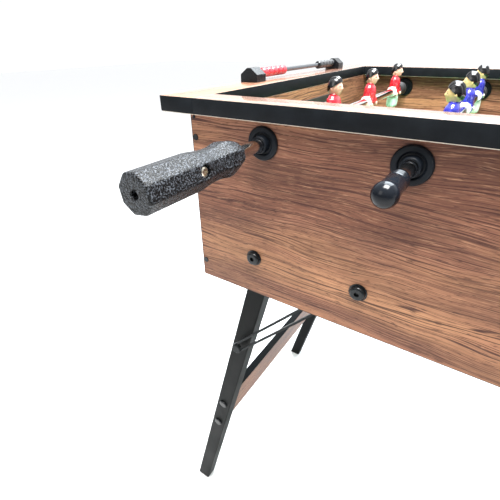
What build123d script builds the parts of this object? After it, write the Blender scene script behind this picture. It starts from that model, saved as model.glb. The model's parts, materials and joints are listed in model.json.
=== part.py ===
"""Foosball table with folding legs, built as an assembly of separate pieces.

Row frame: origin on the floor under the table's centre, +X along the table's length, +Y from the
near side to the far side, +Z up. Millimetres.
"""
from build123d import *
from math import atan2, cos, degrees, radians, sin, tan
import os

# ---- driving dimensions -------------------------------------------------------------------------
ROD_COUNT = 6
ROD_PITCH = 125.0
FIRST_ROD = 83.0            # first rod's axis from the cabinet's end face
CABINET_LENGTH = 2 * FIRST_ROD + (ROD_COUNT - 1) * ROD_PITCH
CABINET_WIDTH = 504.0       # over the side panels
TOP_Z = 775.0               # top of the rails
CABINET_DEPTH = 200.0       # rail top to panel bottom
SIDE_T = 12.0               # side panel thickness
END_T = 9.0                 # end panel thickness
RAIL_T = 15.0
SIDE_RAIL_OUT = 6.0         # rail overhang outside the side panels
SIDE_RAIL_IN = 26.5         # side rail's inner edge, from the panel's outer face
END_RAIL_OUT = 33.0
ROD_DROP = 33.5             # rod axis below the rail top
FIELD_DROP = 97.5           # playing surface below the rail top
FIELD_T = 5.0
CLEAT = 12.0
EDGE_BREAK = 0.6            # small chamfer on board edges

ROD_R = 5.5
ROD_WALL = 1.5
RUNNING = 0.1               # radial clearance of a shaft that turns or slides
PRESS_GAP = 0.05            # radial gap of a part fixed on a shaft
TRAVEL = 60.0               # rod travel each way from the centre
REST_SHIFT = (35.0, 35.0, -35.0, -20.0, 12.0, 8.0)   # how far along +Y each rod is stored

MEN_PITCH = 133.0
MAN_HALF = 13.0             # half a man's width along the rod
MAN_FOOT = 58.0             # sole below the rod axis
HEAD_Z = 31.5
HEAD_R = 9.8

FLANGE_R = 15.0
FLANGE_T = 3.0
BARREL_R = 10.5
SLEEVE_R = 7.4
SLEEVE_OUT = 8.0            # sleeve end, from the panel's face
BUMPER_R = 11.0

HANDLE_IN = 327.0           # handle's inner end, from the rod's middle
HANDLE_LENGTH = 105.0
HANDLE_R = 14.7             # over the corners
HANDLE_PHASE = 77.0         # angle of one corner, from +X towards +Z
CAP_IN = 321.0              # end cap's inner end, from the rod's middle
CAP_BALL_R = 8.4
CAP_BALL = 353.6            # ball centre, from the rod's middle
CAP_STEM_R = 6.9

SCREW_R = 1.8               # panel and grip screws
SCREW_LENGTH = 38.0
SCREW_DROPS = (37.0, 179.0)  # below the rail top
PIN_R = 0.9
PIN_LENGTH = 25.0
PIN_DROPS = (18.0,)

LEG_TILT = 14.2
LEG_W = 25.0                # tube size along the table
LEG_D = 22.0                # tube size across the table
LEG_WALL = 1.5
LEG_REF = (72.5, 154.5)     # a point on the leg's line: from the end face, below the rail top
LEG_TOP = 16.0              # tube beyond the pivot
SOLE_T = 3.0
STAY_REACH = 178.0          # stay's bolt, along the leg from the pivot
STAY_SPAN = 112.9           # stay's cabinet bolt, from the leg's pivot
STAY_W = 14.0
STAY_T = 3.0
STAY_SLOT = 8.5
STRETCHER_AT = 371.0        # middle of the stretcher, along the leg from the pivot at LEG_REF
STRETCHER_W = 88.0
STRETCHER_T = 12.0
STRETCHER_BOLTS = 60.0
LEG_BOLT_HEAD = 3.2         # how proud the stretcher bolts' heads stand
BOLT_R = 3.0

GOAL_W = 174.0
GOAL_TOP = 39.0             # goal mouth's top below the rail top
TRAY_OUT = 55.0
TRAY_LOW = 135.0            # tray's underside below the rail top

SCORER_X = 21.0             # scorer's line outside the end face
SCORER_NEAR = -119.0
SCORER_FAR = 160.0
SCORER_BLOCK = 20.0
SCORER_H = 16.0
SCORER_W = 24.0
SCORER_AXIS = 9.0
SCORER_ROD_R = 2.85
BEAD_R = 5.8
BEAD_PITCH = 12.0
BEADS = 5
BEAD_REST = 8.0             # red beads' distance from their block

# ---- worked out from them -----------------------------------------------------------------------
HX = CABINET_LENGTH / 2
HY = CABINET_WIDTH / 2
PANEL_LOW = TOP_Z - CABINET_DEPTH
PANEL_TOP = TOP_Z - RAIL_T
ROD_Z = TOP_Z - ROD_DROP
FIELD_Z = TOP_Z - FIELD_DROP
ROD_X = [-HX + FIRST_ROD + i * ROD_PITCH for i in range(ROD_COUNT)]
BUMPER_IN = MEN_PITCH + MAN_HALF + 0.5
BUMPER_OUT = HY - SIDE_T - FLANGE_T - TRAVEL - 0.3
NODES = {}


def block(x0, x1, y0, y1, z0, z1):
    """A box between two corners."""
    return Pos((x0 + x1) / 2, (y0 + y1) / 2, (z0 + z1) / 2) * Box(abs(x1 - x0), abs(y1 - y0), abs(z1 - z0))


def rod_y(x, z, y0, y1, r):
    """A cylinder along Y."""
    return Pos(x, (y0 + y1) / 2, z) * Rot(90, 0, 0) * Cylinder(r, abs(y1 - y0))


def rod_x(y, z, x0, x1, r):
    """A cylinder along X."""
    return Pos((x0 + x1) / 2, y, z) * Rot(0, 90, 0) * Cylinder(r, abs(x1 - x0))


def flip_x(shape):
    return mirror(shape, about=Plane.YZ)


def flip_y(shape):
    return mirror(shape, about=Plane.XZ)


def both_sides(shapes):
    """The shapes and their mirror images across the table."""
    return list(shapes) + [flip_y(s) for s in shapes]


def keep(name, shapes):
    """File the shapes as one node of separate solids."""
    solids = [s for shape in shapes for s in shape.solids()]
    NODES[name] = solids


# ---- legs: shared positions ---------------------------------------------------------------------
def leg_x(z):
    """X of the left leg's centre line at a height."""
    return -HX + LEG_REF[0] + tan(radians(LEG_TILT)) * (z - (TOP_Z - LEG_REF[1]))


FOLD_GAP = 27.0             # the right frame's pivots sit this much higher, so both frames stack
LEFT_PIVOT_Z = TOP_Z - LEG_REF[1]
RIGHT_PIVOT_Z = LEFT_PIVOT_Z + FOLD_GAP
LEFT_TUBE_IN = 29.0         # tube's outer face from the side panel's outer face
RIGHT_TUBE_IN = 61.8
# stay_gap is from a stay's inner face to the tube, and bolt_gap from its slot bolt's end to the tube:
# folded, the left stays lie over the stretcher bolts' heads, and the right stays pass inside the left tubes;
# each tube passes its own stay's nut
LEFT_SIDE = {"pivot_z": LEFT_PIVOT_Z, "pivot_x": leg_x(LEFT_PIVOT_Z), "tube_in": LEFT_TUBE_IN,
             "stretcher": STRETCHER_AT, "stay_gap": 6.5, "bolt_gap": LEG_BOLT_HEAD + 0.7}
RIGHT_SIDE = {"pivot_z": RIGHT_PIVOT_Z, "pivot_x": leg_x(RIGHT_PIVOT_Z), "tube_in": RIGHT_TUBE_IN,
              "stretcher": STRETCHER_AT + FOLD_GAP / cos(radians(LEG_TILT)), "stay_gap": 4.5, "bolt_gap": 0.4}


def on_leg(side, shape):
    """Place a shape made with its pivot at the origin and its leg along -Z."""
    return Pos(side["pivot_x"], 0, side["pivot_z"]) * Rot(0, LEG_TILT, 0) * shape


# ---- cabinet ------------------------------------------------------------------------------------
def side_panel():
    """The near side panel, with its rod holes, leg bolt holes and end screw holes."""
    panel = block(-HX, HX, -HY, -HY + SIDE_T, PANEL_LOW, PANEL_TOP)
    for x in ROD_X:
        panel -= rod_y(x, ROD_Z, -HY - 1, -HY + SIDE_T + 1, BARREL_R + RUNNING)
    for x, z in leg_bolt_places():
        panel -= rod_y(x, z, -HY - 1, -HY + SIDE_T + 1, BOLT_R + RUNNING)
    for x, z, r, length in end_holes():
        panel -= rod_y(x, z, -HY - 1, -HY + SIDE_T + 1, r + PRESS_GAP)
    return panel


def leg_bolt_places():
    """X and Z of the four leg and stay bolts on one side panel."""
    left = [(LEFT_SIDE["pivot_x"], LEFT_PIVOT_Z), (LEFT_SIDE["pivot_x"] + STAY_SPAN, LEFT_PIVOT_Z)]
    right = [(-RIGHT_SIDE["pivot_x"], RIGHT_PIVOT_Z), (-RIGHT_SIDE["pivot_x"] - STAY_SPAN, RIGHT_PIVOT_Z)]
    return left + right


def end_holes():
    """X, Z, shank radius and length of the screws and pins that hold a side panel to the end panels."""
    kinds = [(drop, SCREW_R, SCREW_LENGTH) for drop in SCREW_DROPS]
    kinds += [(drop, PIN_R, PIN_LENGTH) for drop in PIN_DROPS]
    return [(s * (HX - END_T / 2), TOP_Z - drop, r, length) for s in (-1, 1) for drop, r, length in kinds]


def end_panel():
    """The left end panel, with the goal mouth and the holes for the side screws."""
    panel = block(-HX, -HX + END_T, -HY + SIDE_T, HY - SIDE_T, PANEL_LOW, PANEL_TOP)
    panel -= block(-HX - 1, -HX + END_T + 1, -GOAL_W / 2, GOAL_W / 2, FIELD_Z, TOP_Z - GOAL_TOP)
    for x, z, r, length in end_holes():
        if x < 0:
            for side in (-1, 1):
                panel -= rod_y(x, z, side * (HY + 1), side * (HY - length - 1), r + PRESS_GAP)
    return panel


def cabinet_shell():
    near = side_panel()
    keep("front_panel", [near])
    keep("rear_panel", [flip_y(near)])
    left = end_panel()
    keep("end_panels", [left, flip_x(left)])
    inner_x = HX - END_T
    side_rail = block(-inner_x, inner_x, -HY - SIDE_RAIL_OUT, -HY + SIDE_RAIL_IN, PANEL_TOP, TOP_Z)
    side_rail = chamfer(side_rail.edges().filter_by(Axis.X), EDGE_BREAK)
    keep("side_rails", [side_rail, flip_y(side_rail)])
    end_rail = block(-HX - END_RAIL_OUT, -inner_x, -HY - SIDE_RAIL_OUT, HY + SIDE_RAIL_OUT, PANEL_TOP, TOP_Z)
    end_rail = chamfer(end_rail.edges().filter_by(Axis.Y), EDGE_BREAK)
    keep("end_rails", [end_rail, flip_x(end_rail)])


def playing_field():
    inner_x = HX - END_T
    inner_y = HY - SIDE_T
    keep("playfield", [block(-inner_x, inner_x, -inner_y, inner_y, FIELD_Z - FIELD_T, FIELD_Z)])
    low = FIELD_Z - FIELD_T - CLEAT
    long_cleat = block(-inner_x, inner_x, -inner_y, -inner_y + CLEAT, low, low + CLEAT)
    short_cleat = block(-inner_x, -inner_x + CLEAT, -inner_y + CLEAT, inner_y - CLEAT, low, low + CLEAT)
    keep("playfield_cleats", [long_cleat, flip_y(long_cleat), short_cleat, flip_x(short_cleat)])


def bushings():
    """Flanged rod bushings pushed through the side panels, each with a ring nut inside."""
    shapes = []
    for x in ROD_X:
        outer = rod_y(x, ROD_Z, -HY - FLANGE_T, -HY, FLANGE_R)
        outer = chamfer(outer.edges().filter_by(GeomType.CIRCLE).sort_by(Axis.Y)[0], 1.0)
        outer -= rod_y(x, ROD_Z, -HY - FLANGE_T, -HY - 0.8, FLANGE_R - 5.0)
        body = outer + rod_y(x, ROD_Z, -HY - 1, -HY + SIDE_T + FLANGE_T, BARREL_R)
        body += rod_y(x, ROD_Z, -HY - SLEEVE_OUT, -HY, SLEEVE_R)
        body -= rod_y(x, ROD_Z, -HY - SLEEVE_OUT - 1, -HY + SIDE_T + FLANGE_T + 1, ROD_R + RUNNING)
        nut = rod_y(x, ROD_Z, -HY + SIDE_T, -HY + SIDE_T + FLANGE_T, FLANGE_R)
        nut -= rod_y(x, ROD_Z, -HY + SIDE_T - 1, -HY + SIDE_T + FLANGE_T + 1, BARREL_R + PRESS_GAP)
        shapes += [body, nut]
    keep("rod_bushings", both_sides(shapes))


def goals():
    """A frame in each goal mouth and an open tray outside it that catches the ball."""
    wall = 2.0
    low = FIELD_Z
    top = TOP_Z - GOAL_TOP
    half = GOAL_W / 2
    inside = -HX + END_T
    lip = 8.0
    frame = block(inside, inside + wall, -half - lip, half + lip, low, top + lip)
    frame += block(-HX, inside, -half, half, low, top)
    frame -= block(-HX - 1, inside + 5, -half + wall, half - wall, low - 1, top - wall)
    tray_low = TOP_Z - TRAY_LOW
    rim = tray_low + 62.0
    thick = 2.5
    tray = block(-HX - TRAY_OUT, -HX, -half - 6, half + 6, tray_low, rim)
    tray = fillet(tray.edges().filter_by(Axis.Z).sort_by(Axis.X)[:2], 4.0)
    tray -= block(-HX - TRAY_OUT + thick, -HX - thick, -half - 6 + thick, half + 6 - thick,
                  tray_low + thick, rim + 1)
    tray -= block(-HX - thick - 1, -HX + 1, -half + wall, half - wall, low - 1, rim + 1)
    keep("goal_boxes", [frame, flip_x(frame), tray, flip_x(tray)])


def scorers():
    """A bead scorer on each end rail: two blocks, a rod and two groups of beads."""
    x = -HX - SCORER_X
    half = SCORER_W / 2
    blocks = []
    for near in (SCORER_NEAR, SCORER_FAR - SCORER_BLOCK):
        outline = [(x - half, 0), (x + half, 0), (x + half, SCORER_H * 0.55), (x + half * 0.45, SCORER_H),
                   (x - half * 0.45, SCORER_H), (x - half, SCORER_H * 0.55)]
        profile = Plane.XZ * make_face(Polyline(*outline, close=True))
        shape = Pos(0, near + SCORER_BLOCK, TOP_Z) * extrude(profile, SCORER_BLOCK)
        shape -= rod_y(x, TOP_Z + SCORER_AXIS, SCORER_NEAR + 8, SCORER_FAR - 8, SCORER_ROD_R + PRESS_GAP)
        blocks.append(shape)
    keep("scorer_brackets", blocks + [flip_x(b) for b in blocks])
    rod = rod_y(x, TOP_Z + SCORER_AXIS, SCORER_NEAR + 8, SCORER_FAR - 8, SCORER_ROD_R)
    keep("scorer_rods", [rod, flip_x(rod)])
    starts = {"red": SCORER_NEAR + SCORER_BLOCK + BEAD_REST,
              "black": SCORER_FAR - SCORER_BLOCK - 0.3 - BEADS * BEAD_PITCH}
    for colour, start in starts.items():
        beads = []
        for i in range(BEADS):
            y = start + i * BEAD_PITCH
            bead = rod_y(x, TOP_Z + SCORER_AXIS, y + 0.1, y + BEAD_PITCH - 0.1, BEAD_R)
            bead = fillet(bead.edges().filter_by(GeomType.CIRCLE), 2.5)
            bead -= rod_y(x, TOP_Z + SCORER_AXIS, y - 1, y + BEAD_PITCH + 1, SCORER_ROD_R + RUNNING)
            beads.append(bead)
        keep("left_%s_beads" % colour, beads)
        keep("right_%s_beads" % colour, [flip_x(b) for b in beads])


# ---- playing rods -------------------------------------------------------------------------------
def man():
    """A man with his rod hole at the origin, facing +X."""
    torso = block(-7.5, 7.5, -MAN_HALF, MAN_HALF, -6, 21.5)
    torso = fillet(torso.edges().filter_by(Axis.Z), 5.0)
    figure = torso + rod_y(0, 0, -MAN_HALF, MAN_HALF, 9.8)
    figure += Pos(0, 0, 23) * Cylinder(5.0, 8)
    figure += Pos(0, 0, HEAD_Z) * Sphere(HEAD_R)
    figure += block(-6.5, 6.5, -9.5, 9.5, -50, 0)
    figure += block(-9.5, 9.5, -10.5, 10.5, -MAN_FOOT, -MAN_FOOT + 14)
    figure -= rod_y(0, 0, -MAN_HALF - 1, MAN_HALF + 1, ROD_R + PRESS_GAP)
    figure -= rod_x(0, 0, -12, -ROD_R, 1.5 + PRESS_GAP)
    return figure


def octagon(radius, y):
    """A regular octagon across the handle's axis."""
    return Pos(0, y, 0) * (Plane.XZ * Rot(0, 0, HANDLE_PHASE) * RegularPolygon(radius, 8))


def handle():
    """An eight-sided grip with a waist, on the rod's -Y end."""
    inner = -HANDLE_IN
    outer = inner - HANDLE_LENGTH
    stations = [(outer, 0.96), (outer + 1.5, 1.0), (inner - 54, 1.0), (inner - 44, 0.91), (inner - 36, 0.87),
                (inner - 29, 0.89), (inner - 21, 0.98), (inner - 15, 0.97), (inner - 8, 0.83), (inner, 0.58)]
    grip = loft([octagon(HANDLE_R * k, y) for y, k in stations], ruled=True)
    grip -= rod_y(0, 0, inner + 1, inner - HANDLE_SOCKET, ROD_R + PRESS_GAP)
    grip -= rod_y(0, 0, outer - 1, outer + 18, 3.2)
    grip -= screw_place() * Pos(0, 0, SCREW_SEAT) * Cylinder(SCREW_POCKET_R, 40, align=(Align.CENTER, Align.CENTER, Align.MIN))
    grip -= screw_place() * Cylinder(SCREW_R + PRESS_GAP, 40, align=(Align.CENTER, Align.CENTER, Align.MIN))
    return grip


HANDLE_SOCKET = 62.0
HANDLE_SCREW = -HANDLE_IN - 53.0    # the grip screw, along the rod
SCREW_SEAT = 9.6                    # pocket floor, from the rod's axis
SCREW_POCKET_R = 5.3


def screw_place():
    """Frame of the grip screw: its Z points out through the flat nearest +X."""
    turn = HANDLE_PHASE - 67.5
    return Pos(0, HANDLE_SCREW, 0) * Rot(0, 90 - turn, 0)


def grip_screw():
    head = Pos(0, 0, SCREW_SEAT + 1.2) * Cylinder(4.1, 2.4)
    shank = Cylinder(SCREW_R, SCREW_SEAT - ROD_R, align=(Align.CENTER, Align.CENTER, Align.MIN))
    return screw_place() * (head + Pos(0, 0, ROD_R) * shank)


def man_screw():
    """The screw in a man's back that stops him turning on the rod."""
    return rod_x(0, 0, -11.3, -ROD_R - 0.05, 1.5) + rod_x(0, 0, -11.3, -9.85, 2.8)


def end_cap():
    """A soft ball-ended cap on the rod's +Y end."""
    stem = rod_y(0, 0, CAP_IN, CAP_BALL, CAP_STEM_R)
    stem = fillet(stem.edges().filter_by(GeomType.CIRCLE).sort_by(Axis.Y)[0], 1.2)
    cap = stem + Pos(0, CAP_BALL, 0) * Sphere(CAP_BALL_R)
    return cap - rod_y(0, 0, CAP_IN - 1, CAP_IN + CAP_SOCKET, ROD_R + PRESS_GAP)


CAP_SOCKET = 26.0


def bumper():
    """The rubber bumper on the +Y side of the outer man."""
    ring = rod_y(0, 0, BUMPER_IN, BUMPER_OUT, BUMPER_R)
    ring = chamfer(ring.edges().filter_by(GeomType.CIRCLE), 1.5)
    return ring - rod_y(0, 0, BUMPER_IN - 1, BUMPER_OUT + 1, ROD_R + RUNNING)


def playing_rods():
    grip = handle()
    cap = end_cap()
    shaft = rod_y(0, 0, -HANDLE_IN - HANDLE_SOCKET + 0.5, CAP_IN + CAP_SOCKET - 0.5, ROD_R)
    shaft -= rod_y(0, 0, -HANDLE_IN - HANDLE_SOCKET, CAP_IN + CAP_SOCKET, ROD_R - ROD_WALL)
    ring = bumper()
    figure = man()
    for i in range(ROD_COUNT):
        place = Pos(ROD_X[i], REST_SHIFT[i], ROD_Z)
        near_handle = i % 2 == 0
        # near-handle rods carry the team that faces +X; the other team's rods are turned end for end
        turn = Rot(0, 0, 0 if near_handle else 180)
        name = "rod_%d" % (i + 1)
        men_y = [-MEN_PITCH, 0, MEN_PITCH]
        keep(name + "_shaft", [place * turn * shaft])
        keep(name + "_men", [place * turn * Pos(0, y, 0) * figure for y in men_y])
        keep(name + "_handle", [place * turn * grip])
        keep(name + "_end_cap", [place * turn * cap])
        keep(name + "_bumpers", [place * ring, place * flip_y(ring)])
        screws = [grip_screw()] + [Pos(0, y, 0) * man_screw() for y in men_y]
        keep(name + "_screws", [place * turn * s for s in screws])


# ---- folding legs -------------------------------------------------------------------------------
def leg_tube(side):
    """One near leg tube of a frame, cut flat for the floor."""
    y = -HY + side["tube_in"] + LEG_D / 2
    length = side["pivot_z"] / cos(radians(LEG_TILT)) + 20
    outer = extrude(RectangleRounded(LEG_W, LEG_D, 2.0), -length - LEG_TOP)
    inner = extrude(RectangleRounded(LEG_W - 2 * LEG_WALL, LEG_D - 2 * LEG_WALL, 0.8), -length - LEG_TOP)
    tube = on_leg(side, Pos(0, y, LEG_TOP) * (outer - inner))
    face = -HY + side["tube_in"]
    tube -= rod_y(side["pivot_x"], side["pivot_z"], face - 1, face + LEG_D + 1, BOLT_R + RUNNING)
    for w in stretcher_bolt_places(side):
        tube -= on_leg(side, rod_y(0, -w, face - 1, face + LEG_D + 1, BOLT_R + PRESS_GAP))
    return tube - block(-2 * HX, 2 * HX, -HY, HY, -60, SOLE_T)


def stretcher_bolt_places(side):
    return [side["stretcher"] - STRETCHER_BOLTS / 2, side["stretcher"] + STRETCHER_BOLTS / 2]


def foot_plug(side):
    """A plastic sole under the tube with a plug that fills its end."""
    y = -HY + side["tube_in"] + LEG_D / 2
    length = side["pivot_z"] / cos(radians(LEG_TILT)) + 20
    sole = on_leg(side, Pos(0, y, 0) * extrude(RectangleRounded(LEG_W, LEG_D, 2.0), -length))
    sole = sole & block(-2 * HX, 2 * HX, -HY, HY, 0, SOLE_T)
    gap = 2 * LEG_WALL + 0.4
    plug = on_leg(side, Pos(0, y, 0) * extrude(RectangleRounded(LEG_W - gap, LEG_D - gap, 0.7), -length))
    plug = plug & block(-2 * HX, 2 * HX, -HY, HY, 1, SOLE_T + 18)
    return sole + plug


def leg_frame(side, name, place):
    face = -HY + side["tube_in"]
    inner = face + LEG_D
    keep(name + "_leg_tubes", [place(s) for s in both_sides([leg_tube(side)])])
    half = STRETCHER_W / 2
    board = block(-STRETCHER_T / 2, STRETCHER_T / 2, inner, -inner, -side["stretcher"] - half,
                  -side["stretcher"] + half)
    bolts = []
    for w in stretcher_bolt_places(side):
        for end in (-1, 1):
            board -= rod_y(0, -w, end * abs(inner), end * (abs(inner) - 31), BOLT_R + PRESS_GAP)
        head = rod_y(0, -w, face - LEG_BOLT_HEAD, face, 7.0)
        head = fillet(head.edges().filter_by(GeomType.CIRCLE).sort_by(Axis.Y)[0], 2.0)
        bolts.append(on_leg(side, head + rod_y(0, -w, face, inner + 30, BOLT_R)))
    keep(name + "_stretcher", [place(on_leg(side, board))])
    keep(name + "_leg_fittings", [place(s) for s in both_sides([foot_plug(side)] + bolts)])


def stay_angle():
    """Direction from the cabinet bolt to the leg bolt when the legs stand, in the X-Z plane."""
    tilt = radians(LEG_TILT)
    dx = -sin(tilt) * STAY_REACH - STAY_SPAN
    dz = -cos(tilt) * STAY_REACH
    return degrees(atan2(dz, dx)), (dx * dx + dz * dz) ** 0.5


def stay(side):
    """A slotted flat bar from the cabinet to the leg, with the bolt that rides in its slot."""
    angle, reach = stay_angle()
    face = -HY + side["tube_in"] - side["stay_gap"] - STAY_T
    bar = Pos(reach / 2, 0, 0) * SlotCenterToCenter(reach + 2, STAY_W)
    bar -= Pos((STAY_REACH - STAY_SPAN + reach) / 2, 0, 0) * SlotCenterToCenter(
        reach - (STAY_REACH - STAY_SPAN), STAY_SLOT)
    bar -= Circle(BOLT_R + RUNNING)
    # the sketch's X runs along the bar and its Y up, so XZ turns it into the table's frame
    plate = Pos(0, face, 0) * extrude(Plane.XZ * bar, -STAY_T)
    head = rod_y(reach, 0, face - 2.6, face, 7.0)
    head = fillet(head.edges().filter_by(GeomType.CIRCLE).sort_by(Axis.Y)[0], 1.5)
    bolt = head + rod_y(reach, 0, face, -HY + side["tube_in"] - side["bolt_gap"], BOLT_R)
    centre = Pos(side["pivot_x"] + STAY_SPAN, 0, side["pivot_z"])
    return [centre * Rot(0, -angle, 0) * s for s in (plate, bolt)]


def hex_nut(x, z, y0, y1, radius):
    return Pos(x, y0, z) * extrude(Plane.XZ * RegularPolygon(radius, 6), -(y1 - y0))


def leg_bolts(side):
    """The pivot bolt and the stay bolt on the near side panel, with spacers and nuts."""
    face = -HY + side["tube_in"]
    inside = -HY + SIDE_T
    shapes = []
    stay_face = face - side["stay_gap"]
    ends = ((side["pivot_x"], face + LEG_D, face, 5.0, 0.3), (side["pivot_x"] + STAY_SPAN, stay_face,
            stay_face - STAY_T, 3.6, 0.2))
    for x, far, spacer_end, nut_t, gap in ends:
        z = side["pivot_z"]
        washer = rod_y(x, z, -HY - 1.2, -HY, 8.6) - rod_y(x, z, -HY - 2, -HY + 1, BOLT_R + PRESS_GAP)
        head = rod_y(x, z, -HY - 5.0, -HY - 1.2, 7.2)
        head = fillet(head.edges().filter_by(GeomType.CIRCLE).sort_by(Axis.Y)[0], 2.4)
        head -= hex_nut(x, z, -HY - 6, -HY - 2.6, 2.6)
        bolt = head + rod_y(x, z, -HY - 1.2, far + gap + nut_t, BOLT_R)
        spacer = rod_y(x, z, inside, spacer_end - 0.3, 6.0)
        spacer -= rod_y(x, z, inside - 1, spacer_end + 1, BOLT_R + PRESS_GAP)
        nut = hex_nut(x, z, far + gap, far + gap + nut_t, 5.8)
        nut -= rod_y(x, z, far - 1, far + 20, BOLT_R + PRESS_GAP)
        shapes += [washer, bolt, spacer, nut]
    return shapes


def panel_screws():
    """The near side's screws and pins into the end panels, with flat heads a little proud."""
    shapes = []
    for x, z, r, length in end_holes():
        shapes.append(rod_y(x, z, -HY - 0.8, -HY, r * 1.75) + rod_y(x, z, -HY - 0.4, -HY + length, r))
    return shapes


def legs():
    leg_frame(LEFT_SIDE, "left", lambda s: s)
    leg_frame(RIGHT_SIDE, "right", flip_x)
    keep("left_stays", both_sides(stay(LEFT_SIDE)))
    keep("right_stays", [flip_x(s) for s in both_sides(stay(RIGHT_SIDE))])
    bolts = leg_bolts(LEFT_SIDE) + [flip_x(s) for s in leg_bolts(RIGHT_SIDE)]
    keep("cabinet_fasteners", both_sides(bolts + panel_screws()))


# ---- build --------------------------------------------------------------------------------------
cabinet_shell()
playing_field()
bushings()
goals()
scorers()
playing_rods()
legs()

os.makedirs("parts", exist_ok=True)
for node, solids in NODES.items():
    export_step(Compound(children=solids) if len(solids) > 1 else solids[0], "parts/%s.step" % node)

print("nodes", len(NODES))
print("fold range", 90 + LEG_TILT, "stay turn", 360 - stay_angle()[0] % 360,
      "ratio", (360 - stay_angle()[0] % 360) / (90 + LEG_TILT))
print("left pivot", LEFT_SIDE, "right pivot", RIGHT_SIDE, "stay span", STAY_SPAN)
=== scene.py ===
"""Looks for the folding foosball table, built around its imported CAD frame.

Metres in the part's own frame: the floor is z = 0, +X runs along the table, and the near side is -Y.
"""
import json
import math

import bmesh
import bpy
from mathutils import Matrix, Vector


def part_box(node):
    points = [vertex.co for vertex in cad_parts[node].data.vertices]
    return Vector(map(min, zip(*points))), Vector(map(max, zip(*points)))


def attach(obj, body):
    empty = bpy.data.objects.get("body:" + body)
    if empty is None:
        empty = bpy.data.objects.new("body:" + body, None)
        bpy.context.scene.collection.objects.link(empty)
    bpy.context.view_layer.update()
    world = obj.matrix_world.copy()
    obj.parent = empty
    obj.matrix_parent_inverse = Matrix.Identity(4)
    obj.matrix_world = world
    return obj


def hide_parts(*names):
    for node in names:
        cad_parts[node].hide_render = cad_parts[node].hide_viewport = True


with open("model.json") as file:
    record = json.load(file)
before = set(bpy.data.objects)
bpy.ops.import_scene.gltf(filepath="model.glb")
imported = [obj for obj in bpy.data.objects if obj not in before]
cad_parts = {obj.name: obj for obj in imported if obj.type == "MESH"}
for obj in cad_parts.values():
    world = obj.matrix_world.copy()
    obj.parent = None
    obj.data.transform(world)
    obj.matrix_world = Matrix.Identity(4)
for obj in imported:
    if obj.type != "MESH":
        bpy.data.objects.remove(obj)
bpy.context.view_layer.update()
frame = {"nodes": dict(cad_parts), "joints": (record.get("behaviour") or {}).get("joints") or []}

MM = 0.001
RODS = {j["child"]: Vector(j["pos_m"]) for j in frame["joints"]
        if j["child"].startswith("rod_") and "pos_m" in j}
RED_TEAM = ("rod_1", "rod_3", "rod_5")      # these rods have their grips on the near side and face +X
ROD_PITCH = 125.0 * MM
MEN_PITCH = 133.0 * MM
BORE = 5.55                                 # mm, radius of the holes in what is fixed on a rod

CAMERA_AT = (-0.1415, -0.5265, 0.8205)      # metres
CAMERA_YAW, CAMERA_PITCH, CAMERA_ROLL = 34.24, -30.09, -0.90    # degrees
LENS, SENSOR = 26.11, 36.0                  # mm


# ---- mesh helpers -------------------------------------------------------------------------------
def new_piece(name, bm, materials, sharp_deg=35.0):
    """A mesh object from bm, smooth but for edges sharper than the angle."""
    bmesh.ops.recalc_face_normals(bm, faces=bm.faces)
    mesh = bpy.data.meshes.new(name)
    bm.to_mesh(mesh)
    bm.free()
    for material in materials:
        mesh.materials.append(material)
    mesh.shade_smooth()
    mesh.set_sharp_from_angle(angle=math.radians(sharp_deg))
    piece = bpy.data.objects.new(name, mesh)
    bpy.context.scene.collection.objects.link(piece)
    return piece


def twin(piece, name, place):
    """Another object with the same mesh, at another place."""
    other = bpy.data.objects.new(name, piece.data)
    bpy.context.scene.collection.objects.link(other)
    other.matrix_world = place
    return other


def stands_for(piece, node, body):
    """The piece rides on the body and is shown in the node's place; the node is hidden."""
    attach(piece, body)
    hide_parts(node)
    return piece


def cut(piece, cutters):
    """The piece with the cutters' volumes taken away; the cutters are removed."""
    for cutter in cutters:
        modifier = piece.modifiers.new("cut", "BOOLEAN")
        modifier.operation = "DIFFERENCE"
        modifier.solver = "EXACT"
        modifier.object = cutter
        graph = bpy.context.evaluated_depsgraph_get()
        mesh = bpy.data.meshes.new_from_object(piece.evaluated_get(graph))
        piece.modifiers.clear()
        piece.data = mesh
        bpy.data.objects.remove(cutter)
    piece.data.shade_smooth()
    piece.data.set_sharp_from_angle(angle=math.radians(35.0))
    return piece


def rounded(points, radii, steps=4):
    """A closed outline with its corners rounded: one radius for each point."""
    outline = []
    count = len(points)
    for i, (point, radius) in enumerate(zip(points, radii)):
        corner = Vector(point)
        if radius == 0:
            outline.append(tuple(corner))
            continue
        before = Vector(points[i - 1]) - corner
        after = Vector(points[(i + 1) % count]) - corner
        reach = radius / math.tan(before.angle(after) / 2)
        reach = min(reach, before.length * 0.49, after.length * 0.49)
        start = corner + before.normalized() * reach
        end = corner + after.normalized() * reach
        for k in range(steps + 1):
            t = k / steps
            outline.append(tuple(start * (1 - t) ** 2 + corner * 2 * t * (1 - t) + end * t * t))
    return outline


def skin(bm, rings, material, closed_along=False):
    """Faces between rings of points, capped at the ends unless the rings close on each other."""
    made = [[bm.verts.new(p) for p in ring] for ring in rings]
    pairs = list(zip(made, made[1:]))
    if closed_along:
        pairs.append((made[-1], made[0]))
    faces = []
    for a, b in pairs:
        count = len(a)
        faces += [bm.faces.new((a[k], a[(k + 1) % count], b[(k + 1) % count], b[k])) for k in range(count)]
    if not closed_along:
        faces += [bm.faces.new(made[0]), bm.faces.new(made[-1])]
    for face in faces:
        face.material_index = material


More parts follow.
